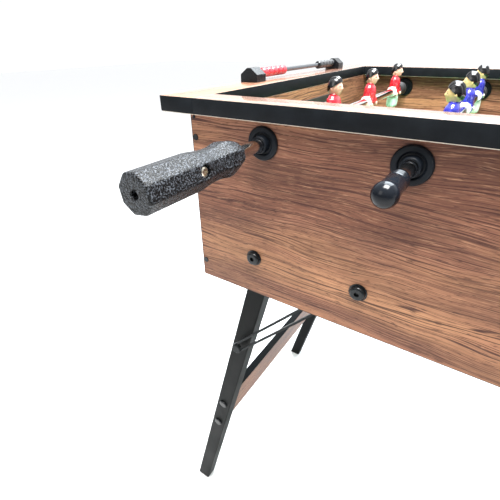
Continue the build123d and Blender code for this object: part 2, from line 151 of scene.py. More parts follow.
def lathe(bm, profile, place, segments=48, material=0, closed=True, radius_at=None):
    """Turns a profile of (along, radius) in millimetres about the local Z of place.

    radius_at gives the radius at an angle, for a shape that isn't round.
    """
    rings = []
    for along, radius in profile:
        ring = []
        for k in range(segments):
            angle = 2 * math.pi * k / segments
            reach = radius_at(angle, radius) if radius_at else radius
            point = Vector((reach * math.cos(angle), reach * math.sin(angle), along)) * MM
            ring.append(place @ point)
        rings.append(ring)
    skin(bm, rings, material, closed_along=closed)


def box(bm, low, high, bevel=0.0, place=Matrix.Identity(4)):
    """A box between two corners in metres, with its edges bevelled."""
    low, high = Vector(low), Vector(high)
    matrix = Matrix.Translation((low + high) / 2) @ Matrix.Diagonal((*(high - low), 1.0))
    made = bmesh.ops.create_cube(bm, size=1.0, matrix=place @ matrix)
    if bevel:
        edges = list({e for v in made["verts"] for e in v.link_edges})
        bmesh.ops.bevel(bm, geom=edges, offset=bevel, segments=2, profile=0.5, affect="EDGES",
                        clamp_overlap=True, material=-1)


def ellipsoid(bm, centre, radii, material, rows, columns):
    """A closed ellipsoid; centre and radii in millimetres."""
    rings = []
    for i in range(rows + 1):
        polar = math.pi * (0.04 + 0.92 * i / rows)
        rings.append([Vector((centre[0] + radii[0] * math.sin(polar) * math.cos(a),
                              centre[1] + radii[1] * math.sin(polar) * math.sin(a),
                              centre[2] + radii[2] * math.cos(polar))) * MM
                      for a in (2 * math.pi * k / columns for k in range(columns))])
    skin(bm, rings, material)


def spline(before, a, b, after, t):
    """A Catmull-Rom curve from a at t = 0 to b at t = 1, of numbers or of points."""
    return 0.5 * (2 * a + (b - before) * t + (2 * before - 5 * a + 4 * b - after) * t ** 2
                  + (3 * a - before - 3 * b + after) * t ** 3)


def tube(bm, points, radii, material):
    """A round limb through the points, in millimetres, with domed ends."""
    points = [Vector(p) for p in points]
    rings = []
    count = len(points)
    fine, segments = 4, 14
    path, widths = [], []
    for i in range((count - 1) * fine + 1):
        t = i / fine
        k = min(int(t), count - 2)
        f = t - k
        before, after = points[max(k - 1, 0)], points[min(k + 2, count - 1)]
        path.append(spline(before, points[k], points[k + 1], after, f))
        widths.append(radii[k] * (1 - f) + radii[k + 1] * f)
    ends = (0.35, 0.75, 0.95)
    start, finish = (path[0] - path[1]).normalized(), (path[-1] - path[-2]).normalized()
    front = [(path[0] + start * widths[0] * math.sqrt(1 - e * e), widths[0] * e) for e in ends]
    back = [(path[-1] + finish * widths[-1] * math.sqrt(1 - e * e), widths[-1] * e) for e in reversed(ends)]
    stations = front + list(zip(path, widths)) + back
    side = Vector((0, 1, 0))
    for i, (point, width) in enumerate(stations):
        ahead = stations[min(i + 1, len(stations) - 1)][0] - stations[max(i - 1, 0)][0]
        across = ahead.cross(side).normalized()
        other = ahead.cross(across).normalized()
        rings.append([(point + width * (math.cos(a) * across + math.sin(a) * other)) * MM
                      for a in (2 * math.pi * k / segments for k in range(segments))])
    skin(bm, rings, material)


def body_rings(sections, segments=28, fine=3):
    """Rings of a soft-cornered body through sections of (z, x, y, half depth, half width, squareness).

    Lengths in millimetres.
    """
    rings = []
    for i in range((len(sections) - 1) * fine + 1):
        k = min(i // fine, len(sections) - 2)
        f = i / fine - k
        ease = f * f * (3 - 2 * f)
        z = sections[k][0] * (1 - f) + sections[k + 1][0] * f
        x, y, deep, wide, power = (sections[k][j] * (1 - ease) + sections[k + 1][j] * ease
                                   for j in range(1, 6))
        ring = []
        for n in range(segments):
            a = 2 * math.pi * n / segments
            c, s = math.cos(a), math.sin(a)
            ring.append(Vector((x + deep * math.copysign(abs(c) ** (2 / power), c),
                                y + wide * math.copysign(abs(s) ** (2 / power), s), z)) * MM)
        rings.append(ring)
    return rings


def cad_copy(node):
    """A welded bmesh copy of a CAD node."""
    bm = bmesh.new()
    bm.from_mesh(frame["nodes"][node].data)
    bmesh.ops.remove_doubles(bm, verts=bm.verts, dist=1e-6)
    return bm


def solid_boxes(node):
    """(lowest, highest) corner of each solid of a CAD node, from left to right and near to far."""
    bm = cad_copy(node)
    seen = set()
    found = []
    for first in bm.verts:
        if first in seen:
            continue
        group, waiting = [], [first]
        seen.add(first)
        while waiting:
            vert = waiting.pop()
            group.append(vert.co)
            for edge in vert.link_edges:
                other = edge.other_vert(vert)
                if other not in seen:
                    seen.add(other)
                    waiting.append(other)
        found.append((Vector([min(c[i] for c in group) for i in range(3)]),
                      Vector([max(c[i] for c in group) for i in range(3)])))
    bm.free()
    return sorted(found, key=lambda b: (round(b[0].x, 3), round(b[0].y, 3)))


# ---- materials ----------------------------------------------------------------------------------
def add_node(tree, kind, inputs, output, settings):
    """A new shader node, with its settings, its inputs set or linked, and one output returned."""
    node = tree.nodes.new("ShaderNode" + kind)
    for key, value in settings.items():
        setattr(node, key, value)
    for key, value in inputs.items():
        if isinstance(value, bpy.types.NodeSocket):
            tree.links.new(value, node.inputs[key])
        else:
            node.inputs[key].default_value = value
    return node.outputs[output]


class Shader:
    """A material being built, with its node tree and Principled shader."""

    def __init__(self, name, **constants):
        self.material = bpy.data.materials.new(name)
        self.material.use_nodes = True
        self.tree = self.material.node_tree
        self.bsdf = self.tree.nodes["Principled BSDF"]
        for socket, value in constants.items():
            self.bsdf.inputs[socket.replace("_", " ")].default_value = value
        self.where = self.add("TexCoord", output="Object")

    def add(self, kind, inputs=None, output=0, **settings):
        return add_node(self.tree, kind, inputs or {}, output, settings)

    def axes(self):
        """The object coordinates' X, Y and Z."""
        return self.add("SeparateXYZ", {0: self.where}).node.outputs

    def math(self, operation, a, b=0.0, c=0.0):
        return self.add("Math", {0: a, 1: b, 2: c}, operation=operation)

    def noise(self, vector, scale, detail=2.0, roughness=0.5, distortion=0.0):
        return self.add("TexNoise", {"Vector": vector, "Scale": scale, "Detail": detail,
                                     "Roughness": roughness, "Distortion": distortion})

    def stretched(self, vector, scale):
        return self.add("Mapping", {"Vector": vector, "Scale": scale})

    def ramp(self, factor, stops):
        """A colour ramp with stops of (position, colour)."""
        output = self.add("ValToRGB", {"Fac": factor})
        elements = output.node.color_ramp.elements
        while len(elements) < len(stops):
            elements.new(0.5)
        for element, (position, colour) in zip(elements, stops):
            element.position = position
            element.color = (*colour, 1.0) if len(colour) == 3 else colour
        return output

    def between(self, value, low, high, out_low=0.0, out_high=1.0):
        """Maps a range smoothly to another, clamped."""
        return self.add("MapRange", {"Value": value, "From Min": low, "From Max": high, "To Min": out_low,
                                     "To Max": out_high}, interpolation_type="SMOOTHSTEP")

    def mix(self, factor, a, b, blend="MIX"):
        """Mixes two colours."""
        a = (*a, 1.0) if isinstance(a, tuple) and len(a) == 3 else a
        b = (*b, 1.0) if isinstance(b, tuple) and len(b) == 3 else b
        return self.add("Mix", {0: factor, 6: a, 7: b}, output=2, data_type="RGBA", blend_type=blend)

    def colour(self, value):
        self.tree.links.new(value, self.bsdf.inputs["Base Color"])

    def roughness(self, value):
        self.tree.links.new(value, self.bsdf.inputs["Roughness"])

    def bump(self, height, distance, strength=1.0):
        normal = self.add("Bump", {"Height": height, "Distance": distance, "Strength": strength})
        self.tree.links.new(normal, self.bsdf.inputs["Normal"])


def laminate(name, grain, across, depth, pale=0.0, edge=None, shift=0.0, gloss=0.03):
    """Printed walnut laminate. grain, across and depth are axis numbers; edge is the board's (end, bottom);
    pale is the share of a painted glare, a wash towards light tan.

    Long wavy growth lines, broad tonal bands, fine fibres and short dark pores.
    """
    s = Shader(name, IOR=1.5, Specular_IOR_Level=0.22, Coat_Weight=gloss, Coat_Roughness=0.14)
    axes = s.axes()
    along = s.math("ADD", axes[grain], shift)
    side = s.math("MULTIPLY_ADD", axes[depth], 0.73, axes[across])
    flat = s.add("CombineXYZ", {0: along, 1: side, 2: shift})
    slow = s.noise(s.stretched(flat, (3.0, 9.0, 1.0)), 1.0, 3.0, 0.55)
    sway = s.math("MULTIPLY_ADD", slow, 0.036, side)
    waved = s.add("CombineXYZ", {0: along, 1: sway, 2: shift})
    bands = s.noise(s.stretched(waved, (2.2, 15.0, 1.0)), 1.0, 3.0, 0.6)
    rings = s.noise(s.stretched(waved, (1.6, 105.0, 1.0)), 1.0, 2.0, 0.5)
    fine_rings = s.noise(s.stretched(waved, (5.0, 380.0, 1.0)), 1.0, 3.0, 0.55)
    fibres = s.noise(s.stretched(waved, (40.0, 900.0, 1.0)), 1.0, 3.0, 0.7)
    pores = s.noise(s.stretched(waved, (95.0, 700.0, 3.0)), 1.0, 2.0, 0.55)
    patches = s.noise(s.stretched(waved, (7.0, 30.0, 1.0)), 1.0, 3.0, 0.6)

    dark_line, dark_ring, pore = (0.045, 0.015, 0.011), (0.070, 0.026, 0.018), (0.040, 0.015, 0.011)
    light_fibre, dark_fibre = (0.60, 0.330, 0.190), (0.075, 0.030, 0.020)

    # reddish-brown and orange-tan zones
    base = s.ramp(bands, [(0.38, (0.140, 0.056, 0.033)), (0.48, (0.232, 0.102, 0.060)),
                          (0.56, (0.310, 0.145, 0.077)), (0.68, (0.375, 0.186, 0.094))])
    tone = s.between(patches, 0.30, 0.72, 0.74, 1.24)
    base = s.mix(1.0, base, s.add("CombineColor", {0: tone, 1: tone, 2: tone}), "MULTIPLY")
    # thin dark lines lie where the ring noise crosses one of three values
    weight = s.between(patches, 0.30, 0.55, 0.50, 0.95)
    for value, width in ((0.44, 0.020), (0.52, 0.015), (0.60, 0.018)):
        crossing = s.math("ABSOLUTE", s.math("SUBTRACT", rings, value))
        line = s.math("SUBTRACT", 1.0, s.between(crossing, width * 0.2, width))
        base = s.mix(s.math("MULTIPLY", line, weight), base, dark_line)
    base = s.mix(s.between(fine_rings, 0.50, 0.64, 0.0, 0.60), base, dark_ring)
    base = s.mix(s.between(fibres, 0.52, 0.74, 0.0, 0.50), base, light_fibre)
    base = s.mix(s.between(fibres, 0.48, 0.28, 0.0, 0.50), base, dark_fibre)
    base = s.mix(s.between(pores, 0.57, 0.70, 0.0, 0.72), base, pore)
    # painted glare: a wash towards light tan stands in for the bright sheen on the rails' tops
    if pale:
        base = s.mix(pale, base, (0.70, 0.58, 0.48))
    if edge:
        end, bottom = edge
        worn, sound = 0.4 * MM, 0.9 * MM        # dark as far as the first, clean from the second on
        rim = s.between(s.math("ABSOLUTE", axes[grain]), end - sound, end - worn)
        low = s.between(axes[2], bottom + sound, bottom + worn)
        base = s.mix(s.math("MAXIMUM", rim, low), base, (0.016, 0.012, 0.010))
    s.colour(base)
    s.roughness(s.between(fibres, 0.30, 0.70, 0.42, 0.58))
    relief = s.math("ADD", s.math("MULTIPLY", fibres, 0.6), s.math("MULTIPLY", fine_rings, 0.4))
    s.bump(relief, 0.00016, 0.55)
    return s.material


def plastic(name, colour, rough, grain_mm, depth_mm, gloss=0.5, variation=0.25, coat=0.0):
    """Moulded plastic or paint: one colour with slight mottling and a fine texture."""
    s = Shader(name, IOR=1.5, Specular_IOR_Level=gloss, Coat_Weight=coat, Coat_Roughness=0.08)
    grain = s.noise(s.where, 1000.0 / grain_mm, 3.0, 0.6)
    cloud = s.noise(s.where, 45.0, 3.0, 0.6)
    darker = tuple(c * (1 - variation) for c in colour)
    lighter = tuple(min(1.0, c * (1 + variation)) for c in colour)
    s.colour(s.mix(s.between(cloud, 0.3, 0.7), darker, lighter))
    s.roughness(s.between(grain, 0.3, 0.7, rough * 0.85, min(1.0, rough * 1.2)))
    s.bump(grain, depth_mm * MM)
    return s.material


def pebbled(name, colour):
    """Black grip plastic with a coarse leather-like grain, and painted glints: bright grey speckles in its
    colour stand in for sparkle highlights.
    """
    s = Shader(name, IOR=1.52, Specular_IOR_Level=0.20)
    cells = s.add("TexVoronoi", {"Vector": s.where, "Scale": 640.0, "Randomness": 1.0}, feature="F1")
    fine = s.noise(s.where, 1100.0, 3.0, 0.65)
    coarse = s.noise(s.where, 420.0, 2.0, 0.5)
    height = s.math("ADD", s.math("MULTIPLY", cells, -0.7), s.math("MULTIPLY", fine, 0.8))
    height = s.math("MULTIPLY_ADD", coarse, 0.5, height)
    # painted highlight: speckles up to 5.5 times the plastic's colour stand in for glints off the grain
    glint_speckle = s.noise(s.where, 930.0, 1.0, 0.5)
    dark, bright = (tuple(c * share for c in colour) for share in (0.1, 5.5))
    s.colour(s.ramp(glint_speckle, [(0.50, dark), (0.66, bright)]))
    s.roughness(s.between(fine, 0.35, 0.65, 0.22, 0.36))
    s.bump(height, 0.00055, 1.0)
    return s.material


def metal(name, colour, rough, axis=1, brushed=0.10):
    """Plated or polished metal with fine lines along one axis."""
    s = Shader(name, Metallic=1.0)
    scale = [900.0, 900.0, 900.0]
    scale[axis] = 14.0
    lines = s.noise(s.stretched(s.where, scale), 1.0, 3.0, 0.6)
    cloud = s.noise(s.where, 26.0, 3.0, 0.55)
    s.colour(s.mix(s.between(cloud, 0.3, 0.7), tuple(c * 0.93 for c in colour), colour))
    s.roughness(s.between(lines, 0.3, 0.7, rough, rough + brushed))
    s.bump(lines, 0.00002, 0.25)
    return s.material


def powder_coat(name, colour, rough):
    """Satin black powder coat with a slight orange peel and dusty variation."""
    s = Shader(name, IOR=1.5, Specular_IOR_Level=0.09)
    peel = s.noise(s.where, 520.0, 2.0, 0.5)
    dust = s.noise(s.where, 18.0, 4.0, 0.6)
    s.colour(s.mix(s.between(dust, 0.35, 0.75), colour, tuple(c * 1.6 for c in colour)))
    s.roughness(s.between(dust, 0.3, 0.75, rough, rough + 0.12))
    s.bump(peel, 0.00006, 0.5)
    return s.material


def field_print(corner):
    """Green field up to its far right corner, with white touch, halfway and area lines, circle and spot."""
    s = Shader("field_print", IOR=1.5, Coat_Weight=0.25, Coat_Roughness=0.18)
    x, y = s.axes()[:2]
    ax, ay = s.math("ABSOLUTE", x), s.math("ABSOLUTE", y)
    half = 1.6 * MM             # half a line's width
    soft = 0.3 * MM

    def stripe(distance):
        return s.between(s.math("ABSOLUTE", distance), half + soft, half - soft)

    def frame_line(near_x, far_x, wide):
        """The outline of a box from near_x to far_x along the table and +-wide across it."""
        dx = s.math("SUBTRACT", s.math("ABSOLUTE", s.math("SUBTRACT", ax, (near_x + far_x) / 2)),
                    (far_x - near_x) / 2)
        dy = s.math("SUBTRACT", ay, wide)
        return stripe(s.math("MAXIMUM", dx, dy))

    margin = 12.0 * MM
    circle, spot = 72.0 * MM, 5.5 * MM
    end, side = corner.x - margin, corner.y - margin
    radius = s.math("SQRT", s.math("ADD", s.math("MULTIPLY", x, x), s.math("MULTIPLY", y, y)))
    marks = [stripe(s.math("SUBTRACT", radius, circle)), stripe(x), frame_line(-end, end, side),
             frame_line(end - 105.0 * MM, end, 135.0 * MM), frame_line(end - 45.0 * MM, end, 75.0 * MM),
             s.between(radius, spot + soft, spot - soft)]
    lines = marks[0]
    for mark in marks[1:]:
        lines = s.math("MAXIMUM", lines, mark)
    fibres = s.noise(s.stretched(s.where, (900.0, 900.0, 1.0)), 1.0, 3.0, 0.7)
    mown = s.math("SINE", s.math("MULTIPLY", x, 2 * math.pi / ROD_PITCH))
    grass = s.mix(s.between(mown, -0.25, 0.25), (0.030, 0.150, 0.042), (0.045, 0.205, 0.058))
    grass = s.mix(s.between(fibres, 0.45, 0.75, 0.0, 0.35), grass, (0.09, 0.30, 0.09))
    s.colour(s.mix(lines, grass, (0.80, 0.82, 0.78)))
    s.roughness(s.between(fibres, 0.3, 0.7, 0.38, 0.55))
    s.bump(fibres, 0.00004, 0.4)
    return s.material


def chipboard(name, colour):
    """Raw board with fine chips."""
    s = Shader(name, IOR=1.45)
    chips = s.noise(s.where, 330.0, 4.0, 0.7)
    s.colour(s.ramp(chips, [(0.3, tuple(c * 0.62 for c in colour)), (0.7, colour)]))
    s.roughness(s.between(chips, 0.3, 0.7, 0.65, 0.85))
    s.bump(chips, 0.0003, 0.5)
    return s.material


def make_materials():
    """Every finish by its key."""
    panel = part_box("front_panel")
    ends = (panel[1].x, panel[0].z)
    return {
        "walnut": laminate("walnut_panels", 0, 2, 1, edge=ends),
        "walnut_ends": laminate("walnut_ends", 1, 2, 0, shift=3.7),
        # the side rails' tops carry a little painted glare through pale
        "walnut_rails": laminate("walnut_rails", 0, 1, 2, pale=0.08, shift=1.9, gloss=0.9),
        "walnut_rail_ends": laminate("walnut_rail_ends", 1, 0, 2, shift=5.3, gloss=0.9),
        "walnut_stretcher": laminate("walnut_stretcher", 1, 2, 0, shift=8.1),
        "field": field_print(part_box("playfield")[1]),
        "board": chipboard("raw_board", (0.55, 0.42, 0.29)),
        "core": chipboard("rail_core", (0.78, 0.68, 0.56)),
        "band": plastic("edge_band", (0.0060, 0.0075, 0.0095), 0.50, 0.9, 0.010, 0.10),
        "bushing": plastic("bushing_plastic", (0.0045, 0.0060, 0.0085), 0.34, 0.7, 0.008, 0.15),
        "goal": plastic("goal_plastic", (0.018, 0.018, 0.019), 0.45, 0.6, 0.02),
        "scorer": plastic("scorer_plastic", (0.005, 0.006, 0.0075), 0.28, 0.8, 0.006, 0.3),
        "bead_red": plastic("bead_red", (0.52, 0.018, 0.030), 0.22, 0.8, 0.004, 0.6, 0.12, 0.4),
        "bead_black": plastic("bead_black", (0.012, 0.013, 0.016), 0.22, 0.8, 0.004, 0.6, 0.2, 0.4),
        "hardware": plastic("black_hardware", (0.0045, 0.0060, 0.0070), 0.22, 0.8, 0.006, 0.30),
        "chrome": metal("rod_chrome", (0.78, 0.77, 0.77), 0.07),
        "scorer_rod": metal("scorer_rods", (0.20, 0.215, 0.235), 0.10),
        "screw": metal("plated_screws", (0.86, 0.80, 0.66), 0.20, 0, 0.15),
        "handle": pebbled("grip_plastic", (0.014, 0.0155, 0.018)),
        "cap": plastic("cap_rubber", (0.0050, 0.0065, 0.0095), 0.15, 0.9, 0.006, 0.22, 0.2, 0.04),
        "bumper": plastic("bumper_rubber", (0.016, 0.016, 0.017), 0.55, 0.5, 0.03, 0.4),
        "leg": powder_coat("leg_powder_coat", (0.0045, 0.0052, 0.0050), 0.50),
        "stay": powder_coat("stay_powder_coat", (0.014, 0.016, 0.017), 0.36),
        "hair": plastic("painted_hair", (0.003, 0.003, 0.004), 0.14, 1.0, 0.004, 0.60, 0.2, 0.25),
        "boot": plastic("painted_boots", (0.012, 0.012, 0.012), 0.30, 1.0, 0.01, 0.6),
        "red": plastic("red_shirt", (0.56, 0.014, 0.026), 0.26, 2.5, 0.030, 0.6, 0.18, 0.5),
        "blue": plastic("blue_shirt", (0.022, 0.026, 0.33), 0.26, 2.5, 0.030, 0.6, 0.25, 0.5),
        "pink_skin": plastic("pink_skin", (0.86, 0.47, 0.38), 0.34, 2.0, 0.015, 0.5, 0.10, 0.25),
        "tan_skin": plastic("tan_skin", (0.98, 0.66, 0.32), 0.34, 2.0, 0.015, 0.5, 0.10, 0.25),
        "white": plastic("painted_white", (0.80, 0.84, 0.80), 0.28, 2.0, 0.012, 0.5, 0.05, 0.3),
        "mint": plastic("mint_shorts", (0.55, 0.80, 0.66), 0.30, 2.2, 0.02, 0.5, 0.08, 0.3),
    }


MATERIALS = make_materials()


def finish_node(node, key):
    """Gives a CAD node its finish."""
    obj = frame["nodes"][node]
    if not obj.material_slots:
        obj.data.materials.append(MATERIALS[key])
    for slot in obj.material_slots:
        slot.material = MATERIALS[key]


# ---- cabinet ------------------------------------------------------------------------------------
def banded_boards(node, material, long_axis):
    """Rail boards with a laminated top and a black edge band round their upright faces.

    The side rails (long axis 0) butt against the end rails (long axis 1), whose ends are banded too.
    """
    band = 0.7 * MM             # the board stops this far inside its box
    thick = band * 0.9
    foot = 0.7 * MM             # bare core that shows under the band
    lip = 0.12 * MM             # from the band's top to the board's
    boards, bands = bmesh.new(), bmesh.new()
    for low, high in solid_boxes(node):
        inset = Vector((band, band, 0))
        if long_axis == 0:
            inset.x = 0
        box(boards, low + inset, high - inset, 0.25 * MM)
        strips = []
        across = 1 - long_axis
        for axis in [across] if long_axis == 0 else [across, long_axis]:
            for face, inwards in ((low[axis], 1), (high[axis], -1)):
                a, b = low.copy(), high.copy()
                a[axis], b[axis] = sorted((face, face + inwards * thick))
                if axis == long_axis:           # end strips lie between the long ones
                    a[across] += band
                    b[across] -= band
                strips.append((a, b))
        for a, b in strips:
            a.z += foot
            b.z -= lip
            box(bands, a, b, 0.22 * MM)
    for face in boards.faces:
        face.material_index = 0 if abs(face.normal.z) > 0.5 else 1
    board_piece = new_piece(node.replace("rails", "rail_boards"), boards, [material, MATERIALS["core"]])
    stands_for(board_piece, node, "cabinet")
    band_piece = new_piece(node.replace("rails", "rail_bands"), bands, [MATERIALS["band"]])
    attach(band_piece, "cabinet")


def rails():
    banded_boards("side_rails", MATERIALS["walnut_rails"], 0)
    banded_boards("end_rails", MATERIALS["walnut_rail_ends"], 1)


def bushings():
    """The flanged body and the ring nut of every bushing, where the CAD solids are."""
    bm = bmesh.new()
    panel_low, panel_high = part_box("front_panel")
    rear_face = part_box("rear_panel")[1].y
    thick = (panel_high.y - panel_low.y) / MM
    body = rounded([(-thick - 3.0, BORE + 0.05), (8.0, BORE + 0.05), (8.0, 7.4), (1.3, 7.7), (0.9, 8.3),
                    (0.9, 9.3), (2.6, 9.9), (3.0, 10.8), (3.0, 13.9), (1.4, 15.0), (0.0, 15.0), (0.0, 10.5),
                    (-thick - 3.0, 10.5)],
                   [0.4, 0.6, 0.9, 0.4, 0.0, 0.3, 0.3, 0.4, 1.0, 0.8, 0.2, 0.0, 0.4])
    nut = rounded([(-thick, 10.56), (-thick, 15.0), (-thick - 2.0, 15.0), (-thick - 3.0, 13.8),
                   (-thick - 3.0, 10.56)], [0.0, 0.2, 0.6, 0.8, 0.3])
    for centre in RODS.values():
        for face, turn in ((panel_low.y, 90), (rear_face, -90)):
            turned = Matrix.Rotation(math.radians(turn), 4, "X")
            place = Matrix.Translation((centre.x, face, centre.z)) @ turned
            lathe(bm, body, place, 64)
            lathe(bm, nut, place, 64)
    piece = new_piece("bushings", bm, [MATERIALS["bushing"]])
    stands_for(piece, "rod_bushings", "cabinet")


def scorer_blocks():
    """House-shaped end blocks of the bead scorers."""
    eaves, ridge = 0.55, 0.22   # the eaves' height and the ridge's half width, as shares of the block's
    bm = bmesh.new()
    for low, high in solid_boxes("scorer_brackets"):
        mid, half, tall = (low.x + high.x) / 2, (high.x - low.x) / 2, high.z - low.z
        outline = [(-half, 0), (half, 0), (half, tall * eaves), (half * ridge, tall), (-half * ridge, tall),
                   (-half, tall * eaves)]
        rings = [[Vector((mid + x, y, low.z + z)) for x, z in outline] for y in (low.y, high.y)]
        skin(bm, rings, 0)
    edges = [e for e in bm.edges if e.calc_face_angle(0) > 0.3]
    bmesh.ops.bevel(bm, geom=edges, offset=0.7 * MM, segments=3, profile=0.5, affect="EDGES")
    stands_for(new_piece("scorer_blocks", bm, [MATERIALS["scorer"]]), "scorer_brackets", "cabinet")


def beads():
    """Each group of counting beads, turned with soft shoulders and a waisted rim."""
    for side in ("left", "right"):
        for colour in ("red", "black"):
            node = "%s_%s_beads" % (side, colour)
            bm = bmesh.new()
            for low, high in solid_boxes(node):
                radius = (high.x - low.x) / 2 / MM
                length = (high.y - low.y) / MM
                profile = rounded([(0, 3.0), (length, 3.0), (length, radius - 1.3), (length - 1.6, radius),
                                   (1.6, radius), (0, radius - 1.3)], [0.2, 0.2, 0.7, 1.6, 1.6, 0.7])
                place = Matrix.Translation(((low.x + high.x) / 2, high.y, (low.z + high.z) / 2))
                lathe(bm, profile, place @ Matrix.Rotation(math.radians(90), 4, "X"), 40)
            stands_for(new_piece(node.replace("beads", "bead_group"), bm, [MATERIALS["bead_" + colour]]),
                       node, node)


# ---- men ----------------------------------------------------------------------------------------
SKIN, SHIRT, SHORTS, HAIR, BOOT, COLLAR = range(6)      # the men's material slots
HEAD_CENTRE = (0.3, 0.0, 31.4)                          # mm from the rod's axis, as all of a man is
HEAD_RADII = (8.1, 7.2, 9.9)


def head_point(polar, azimuth, grow=0.0):
    """A point of the head; azimuth 0 is the face's middle. Lengths in millimetres.

    Hills on an ellipsoid make nose, brow, eye sockets, chin, lips and the back of the head, in this order.
    """
    def hill(value, middle, width):
        return math.exp(-((value - middle) / width) ** 2)

    c, s = math.cos(azimuth), math.sin(azimuth)
    turn = math.atan2(s, c)
    below = max(0.0, -math.cos(polar))
    x = (HEAD_RADII[0] + grow) * math.sin(polar) * c
    y = (HEAD_RADII[1] + grow) * math.sin(polar) * s * (1 - 0.20 * below)
    z = (HEAD_RADII[2] + grow) * math.cos(polar)
    front = max(0.0, c)
    x += 2.1 * hill(turn, 0, 0.20) * hill(polar, 1.74, 0.20)
    x += 0.5 * front * hill(polar, 1.42, 0.14) * hill(turn, 0, 0.75)
    x -= 0.7 * (hill(turn, 0.42, 0.20) + hill(turn, -0.42, 0.20)) * hill(polar, 1.58, 0.13)
    x += 1.5 * front * hill(polar, 2.45, 0.32) * hill(turn, 0, 0.55)
    x += 0.5 * hill(turn, 0, 0.34) * (hill(polar, 2.02, 0.06) + hill(polar, 2.17, 0.07))
    x += 0.9 * max(0.0, -c) * hill(polar, 1.25, 0.5)
    return Vector((x + HEAD_CENTRE[0], y + HEAD_CENTRE[1], z + HEAD_CENTRE[2]))


def man_head(bm):
    """The head with its ears, eyes and eyebrows."""
    rows, columns = 34, 44
    rings = [[head_point(math.pi * (0.02 + 0.96 * i / rows), 2 * math.pi * k / columns) * MM
              for k in range(columns)] for i in range(rows + 1)]
    skin(bm, rings, SKIN)
    for side in (-1, 1):
        ellipsoid(bm, (-0.8, side * 6.9, 30.4), (1.5, 1.1, 2.5), SKIN, 8, 12)
        ellipsoid(bm, (7.0, side * 2.9, 31.4), (0.55, 0.9, 0.5), HAIR, 6, 10)
        ellipsoid(bm, (7.3, side * 2.9, 33.2), (0.5, 1.4, 0.32), HAIR, 6, 10)


def man_hair(bm):
    """A cap of combed hair, from the forehead over the crown down to the nape."""
    rows, columns = 22, 56
    comb_height, comb_pitch = 0.42, 3.0         # mm
    edge_lifts = (0.55, -0.8)                   # the hair's edge turns in over two more rows, mm
    rings = []
    for i in range(rows + 1 + len(edge_lifts)):
        ring = []
        for k in range(columns):
            azimuth = 2 * math.pi * k / columns
            limit = math.radians(60 + 66 * (0.5 - 0.5 * math.cos(azimuth)) ** 1.15)
            t = min(i / rows, 1.0)
            polar = 0.03 + (limit - 0.03) * t
            lift = 1.0 if i <= rows else edge_lifts[i - rows - 1]
            point = head_point(polar, azimuth, lift)
            if i <= rows:
                comb = comb_height * math.cos(2 * math.pi * point.y / comb_pitch)
                swell = 0.5 * math.sin(math.pi * min(1.0, t * 1.1)) * max(0.0, math.cos(azimuth)) ** 2
                away = (point - Vector(HEAD_CENTRE)).normalized()
                point += away * (comb * min(1.0, t * 4) * min(1.0, (1 - t) * 6 + 0.3) + swell)
            ring.append(point * MM)
        rings.append(ring)
    skin(bm, rings, HAIR)


def man_body(bm):
    """Shirt, neck, collar, shorts, legs, socks and boots."""
    shirt = [(-9.0, 0, 0, 6.8, 9.4, 2.6), (-3.0, 0, 0, 7.9, 10.2, 2.6), (5.0, 0.2, 0, 8.2, 10.4, 2.5),
             (13.0, 0.3, 0, 7.9, 11.0, 2.4), (18.0, 0, 0, 6.9, 11.0, 2.3), (21.5, -0.2, 0, 5.2, 8.6, 2.2),
             (23.6, -0.2, 0, 4.2, 5.0, 2.0)]
    skin(bm, body_rings(shirt), SHIRT)
    neck = [(21.0, -0.4, 0, 4.0, 4.3, 2.0), (26.5, -0.3, 0, 3.8, 3.9, 2.0)]
    skin(bm, body_rings(neck, 20), SKIN)
    collar = [(22.4, -0.2, 0, 5.0, 5.6, 2.0), (23.4, -0.2, 0, 5.1, 5.5, 2.0), (24.2, -0.2, 0, 4.6, 4.9, 2.0)]
    skin(bm, body_rings(collar, 24), SHIRT)
    shorts = [(-23.5, 0.2, 0, 7.4, 10.3, 2.8), (-21.5, 0.2, 0, 8.3, 10.9, 2.8),
              (-14.0, 0.1, 0, 8.5, 10.8, 2.7), (-8.0, 0, 0, 8.1, 10.3, 2.6), (-5.5, 0, 0, 7.6, 9.9, 2.6)]
    skin(bm, body_rings(shorts), SHORTS)
    for side in (-1, 1):
        leg = [(-20.0, 0.2, side * 4.9, 5.2, 4.9, 2.2), (-30.0, 0.3, side * 4.7, 4.7, 4.3, 2.2),
               (-37.0, -0.1, side * 4.7, 4.9, 4.3, 2.2), (-46.0, 0, side * 4.8, 3.8, 3.6, 2.2)]
        skin(bm, body_rings(leg, 20), SKIN)
        sock = [(-49.0, 0, side * 4.8, 4.6, 4.3, 2.3), (-41.5, 0, side * 4.8, 4.9, 4.5, 2.3),
                (-40.5, 0, side * 4.8, 5.2, 4.7, 2.3), (-39.5, 0, side * 4.8, 5.0, 4.5, 2.3)]
        skin(bm, body_rings(sock, 20), COLLAR)
    boots = [(-57.8, 0, 0, 8.9, 9.8, 4.5), (-57.0, 0, 0, 9.4, 10.3, 4.5), (-51.0, 0, 0, 9.4, 10.3, 4.2),
             (-48.0, 0, 0, 8.0, 9.9, 3.6), (-45.5, -0.3, 0, 5.6, 9.2, 3.0), (-44.5, -0.3, 0, 4.9, 8.8, 3.0)]
    skin(bm, body_rings(boots, 40), BOOT)


def man_arms(bm):
    """Sleeve, forearm and hand on each side."""
    for side in (-1, 1):
        tube(bm, [(-0.2, side * 9.4, 17.6), (0.6, side * 10.2, 13.0), (1.8, side * 10.3, 8.2)],
             [2.5, 2.7, 2.5], SHIRT)
        tube(bm, [(1.7, side * 10.3, 9.0), (4.6, side * 10.6, 3.6), (7.8, side * 10.2, -2.2)],
             [2.0, 2.0, 1.8], SKIN)
        ellipsoid(bm, (8.4, side * 10.1, -3.4), (2.0, 2.0, 2.7), SKIN, 8, 12)


